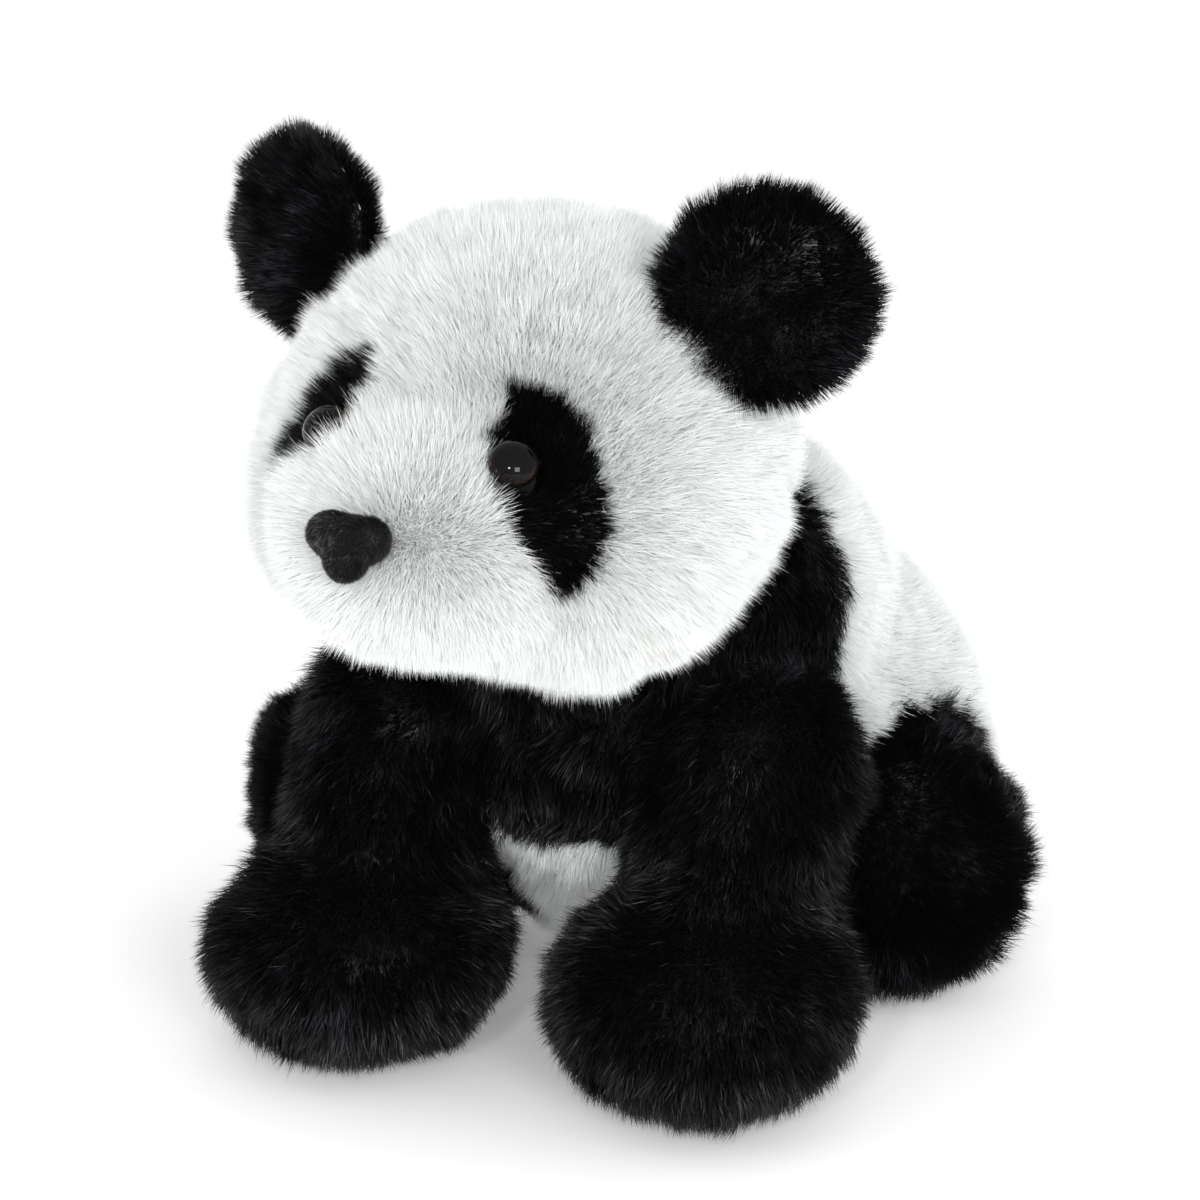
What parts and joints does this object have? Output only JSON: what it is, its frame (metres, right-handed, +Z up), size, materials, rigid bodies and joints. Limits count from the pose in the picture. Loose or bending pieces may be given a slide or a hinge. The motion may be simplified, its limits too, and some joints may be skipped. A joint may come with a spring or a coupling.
{
  "type": "plush panda",
  "caption": "Seated plush panda of black and white pile fabric, with soft jointed head, ears, legs and tail, plastic safety eyes and a flocked nose.",
  "frame": {"origin": "on the surface that the toy sits on, under the middle of its whole outline", "axes": "+Z up, the toy faces -Y, +X is the toy's own left side"},
  "size_m": [0.245, 0.2948, 0.2546],
  "materials": {
    "white_pile": "matte long-pile plush, white",
    "black_pile": "matte long-pile plush, black with fine sheen",
    "nose_flock": "short black flock on a moulded nose",
    "gloss_eye": "glossy, dark brown rim and black centre",
    "natural_plastic": "satin, natural",
    "polyfill": "loose polyester fibre",
    "liner_cloth": "plain woven liner cloth"
  },
  "bodies": {
    "torso": {"back_left": "white_pile", "back_right": "white_pile", "belly_panel": "white_pile", "chest_panel": "black_pile", "pellet_bag": "liner_cloth", "shoulder_yoke": "black_pile", "torso_stuffing": "polyfill"},
    "neck": {"neck_plug": "liner_cloth"},
    "head": {"chin_panel": "white_pile", "eye_left": "gloss_eye", "eye_patch_left": "black_pile", "eye_patch_right": "black_pile", "eye_right": "gloss_eye", "eye_washer_left": "natural_plastic", "eye_washer_right": "natural_plastic", "head_gusset": "white_pile", "head_side_left": "white_pile", "head_side_right": "white_pile", "head_stuffing": "polyfill", "nose": "nose_flock", "nose_washer": "natural_plastic"},
    "ear_left": {"ear_left_back": "black_pile", "ear_left_filling": "polyfill", "ear_left_front": "black_pile"},
    "ear_right": {"ear_right_back": "black_pile", "ear_right_filling": "polyfill", "ear_right_front": "black_pile"},
    "front_leg_left": {"front_leg_left_inner": "black_pile", "front_leg_left_outer": "black_pile", "front_leg_left_stuffing": "polyfill"},
    "front_leg_right": {"front_leg_right_inner": "black_pile", "front_leg_right_outer": "black_pile", "front_leg_right_stuffing": "polyfill"},
    "hind_leg_left": {"hind_leg_left_shell": "black_pile", "hind_leg_left_sole": "black_pile", "hind_leg_left_stuffing": "polyfill"},
    "hind_leg_right": {"hind_leg_right_shell": "black_pile", "hind_leg_right_sole": "black_pile", "hind_leg_right_stuffing": "polyfill"},
    "tail": {"tail": "white_pile"}
  },
  "joints": [
    {"name": "neck_turn", "type": "hinge", "parent": "torso", "child": "neck", "pos_m": [0.01392, -0.03723, 0.15], "axis": [0, 0, 1], "range_deg": [-12, 14], "stiffness_Nm_per_rad": 0.9},
    {"name": "head_nod", "type": "hinge", "parent": "neck", "child": "head", "pos_m": [0.01392, -0.03723, 0.15], "axis": [0.9976, -0.0698, 0], "range_deg": [-10, 8], "stiffness_Nm_per_rad": 1.6},
    {"name": "front_left_swing", "type": "hinge", "parent": "torso", "child": "front_leg_left", "pos_m": [0.06692, -0.02923, 0.09], "axis": [1, 0, 0], "range_deg": [-25, 6], "stiffness_Nm_per_rad": 1.2},
    {"name": "front_right_swing", "type": "hinge", "parent": "torso", "child": "front_leg_right", "pos_m": [-0.03308, -0.02923, 0.09], "axis": [1, 0, 0], "range_deg": [-25, 6], "stiffness_Nm_per_rad": 1.2},
    {"name": "hind_left_lift", "type": "hinge", "parent": "torso", "child": "hind_leg_left", "pos_m": [0.07292, 0.05477, 0.04], "axis": [-1, 0, 0], "range_deg": [0, 20], "stiffness_Nm_per_rad": 1},
    {"name": "hind_right_lift", "type": "hinge", "parent": "torso", "child": "hind_leg_right", "pos_m": [-0.03908, 0.05477, 0.04], "axis": [-1, 0, 0], "range_deg": [0, 20], "stiffness_Nm_per_rad": 1},
    {"name": "ear_left_flex", "type": "hinge", "parent": "head", "child": "ear_left", "pos_m": [0.06172, -0.05948, 0.20792], "axis": [0.5609, 0.1708, -0.8101], "range_deg": [-10, 10], "stiffness_Nm_per_rad": 0.06},
    {"name": "ear_right_flex", "type": "hinge", "parent": "head", "child": "ear_right", "pos_m": [-0.03237, -0.0529, 0.21121], "axis": [0.5867, -0.251, 0.7699], "range_deg": [-10, 10], "stiffness_Nm_per_rad": 0.06},
    {"name": "tail_wag", "type": "hinge", "parent": "torso", "child": "tail", "pos_m": [0.01692, 0.12077, 0.044], "axis": [0, 0, 1], "range_deg": [-10, 10], "stiffness_Nm_per_rad": 0.02}
  ]
}
